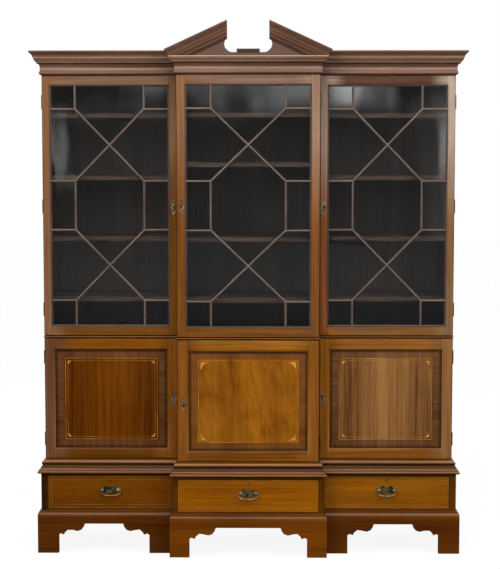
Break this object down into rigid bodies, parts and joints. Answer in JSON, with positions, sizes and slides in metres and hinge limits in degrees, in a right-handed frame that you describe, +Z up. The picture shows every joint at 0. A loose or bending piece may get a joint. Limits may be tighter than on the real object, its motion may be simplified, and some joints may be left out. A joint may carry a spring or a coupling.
{
  "type": "breakfront bookcase",
  "caption": "Tall breakfront bookcase with glazed lattice doors and shelves above panelled cupboards, drawers and bracket feet, under a broken pediment.",
  "frame": {"origin": "middle of the overall box, on the floor plane under the feet", "axes": "+X to the right as seen from the front, +Y from the front to the back, +Z up"},
  "size_m": [1.954, 0.5254, 2.4012],
  "materials": {
    "frame_mahogany": "waxed and french polished mahogany",
    "base_mahogany": "dark polished mahogany",
    "drawer_mahogany": "golden polished mahogany with pale stringing",
    "panel_mahogany": "figured polished mahogany with pale inlay",
    "inner_mahogany": "dark stained, unpolished",
    "aged_brass": "dulled cast brass, bright on the edges",
    "old_glass": "thin clear sheet, slightly uneven"
  },
  "bodies": {
    "carcase": {"plinth": "base_mahogany", "drawer_case": "base_mahogany", "drawer_case_top": "base_mahogany", "drawer_case_back": "inner_mahogany", "base_top": "base_mahogany", "cupboard_bottom": "base_mahogany", "cupboard_top": "frame_mahogany", "cupboard_end_left": "frame_mahogany", "cupboard_end_right": "frame_mahogany", "cupboard_partition_left": "frame_mahogany", "cupboard_partition_right": "frame_mahogany", "cupboard_back": "inner_mahogany", "upper_bottom": "frame_mahogany", "upper_top": "frame_mahogany", "upper_end_left": "frame_mahogany", "upper_end_right": "frame_mahogany", "upper_partition_left": "frame_mahogany", "upper_partition_right": "frame_mahogany", "upper_back": "inner_mahogany", "shelf_left_1": "inner_mahogany", "shelf_left_2": "inner_mahogany", "shelf_left_3": "inner_mahogany", "shelf_left_4": "inner_mahogany", "shelf_centre_1": "inner_mahogany", "shelf_centre_2": "inner_mahogany", "shelf_centre_3": "inner_mahogany", "shelf_centre_4": "inner_mahogany", "shelf_right_1": "inner_mahogany", "shelf_right_2": "inner_mahogany", "shelf_right_3": "inner_mahogany", "shelf_right_4": "inner_mahogany", "cornice": "frame_mahogany", "tympanum": "frame_mahogany", "pediment_block": "frame_mahogany", "pediment_rake_left": "frame_mahogany", "pediment_rake_right": "frame_mahogany"},
    "left_drawer": {"drawer_left": "drawer_mahogany", "handle_plate_left": "aged_brass"},
    "centre_drawer": {"drawer_centre": "drawer_mahogany", "handle_plate_centre": "aged_brass"},
    "right_drawer": {"drawer_right": "drawer_mahogany", "handle_plate_right": "aged_brass"},
    "left_bail": {"bail_left": "aged_brass"},
    "centre_bail": {"bail_centre": "aged_brass"},
    "right_bail": {"bail_right": "aged_brass"},
    "left_cupboard_door": {"lower_door_left": "frame_mahogany", "door_panel_left": "panel_mahogany"},
    "centre_cupboard_door": {"lower_door_centre": "frame_mahogany", "door_panel_centre": "panel_mahogany"},
    "right_cupboard_door": {"lower_door_right": "frame_mahogany", "door_panel_right": "panel_mahogany"},
    "left_glazed_door": {"upper_door_left": "frame_mahogany", "door_lattice_left": "frame_mahogany", "door_glass_left": "old_glass"},
    "centre_glazed_door": {"upper_door_centre": "frame_mahogany", "door_lattice_centre": "frame_mahogany", "door_glass_centre": "old_glass"},
    "right_glazed_door": {"upper_door_right": "frame_mahogany", "door_lattice_right": "frame_mahogany", "door_glass_right": "old_glass"}
  },
  "joints": [
    {"name": "left_drawer_slide", "type": "slide", "parent": "carcase", "child": "left_drawer", "axis": [0, -1, 0], "range_m": [0, 0.3]},
    {"name": "centre_drawer_slide", "type": "slide", "parent": "carcase", "child": "centre_drawer", "axis": [0, -1, 0], "range_m": [0, 0.35]},
    {"name": "right_drawer_slide", "type": "slide", "parent": "carcase", "child": "right_drawer", "axis": [0, -1, 0], "range_m": [0, 0.3]},
    {"name": "left_bail_swing", "type": "hinge", "parent": "left_drawer", "child": "left_bail", "pos_m": [-0.6295, -0.16932, 0.2903], "axis": [-1, 0, 0], "range_deg": [0, 100]},
    {"name": "centre_bail_swing", "type": "hinge", "parent": "centre_drawer", "child": "centre_bail", "pos_m": [0, -0.24232, 0.2903], "axis": [-1, 0, 0], "range_deg": [0, 100]},
    {"name": "right_bail_swing", "type": "hinge", "parent": "right_drawer", "child": "right_bail", "pos_m": [0.6295, -0.16932, 0.2903], "axis": [-1, 0, 0], "range_deg": [0, 100]},
    {"name": "left_cupboard_door_hinge", "type": "hinge", "parent": "carcase", "child": "left_cupboard_door", "pos_m": [-0.9295, -0.11725, 0.7082], "axis": [0, 0, -1], "range_deg": [0, 110]},
    {"name": "centre_cupboard_door_hinge", "type": "hinge", "parent": "carcase", "child": "centre_cupboard_door", "pos_m": [0.3225, -0.19025, 0.7082], "axis": [0, 0, 1], "range_deg": [0, 110]},
    {"name": "right_cupboard_door_hinge", "type": "hinge", "parent": "carcase", "child": "right_cupboard_door", "pos_m": [0.9295, -0.11725, 0.7082], "axis": [0, 0, 1], "range_deg": [0, 110]},
    {"name": "left_glazed_door_hinge", "type": "hinge", "parent": "carcase", "child": "left_glazed_door", "pos_m": [-0.9295, -0.11725, 1.58195], "axis": [0, 0, -1], "range_deg": [0, 110]},
    {"name": "centre_glazed_door_hinge", "type": "hinge", "parent": "carcase", "child": "centre_glazed_door", "pos_m": [0.3225, -0.19025, 1.58195], "axis": [0, 0, 1], "range_deg": [0, 110]},
    {"name": "right_glazed_door_hinge", "type": "hinge", "parent": "carcase", "child": "right_glazed_door", "pos_m": [0.9295, -0.11725, 1.58195], "axis": [0, 0, 1], "range_deg": [0, 110]}
  ]
}
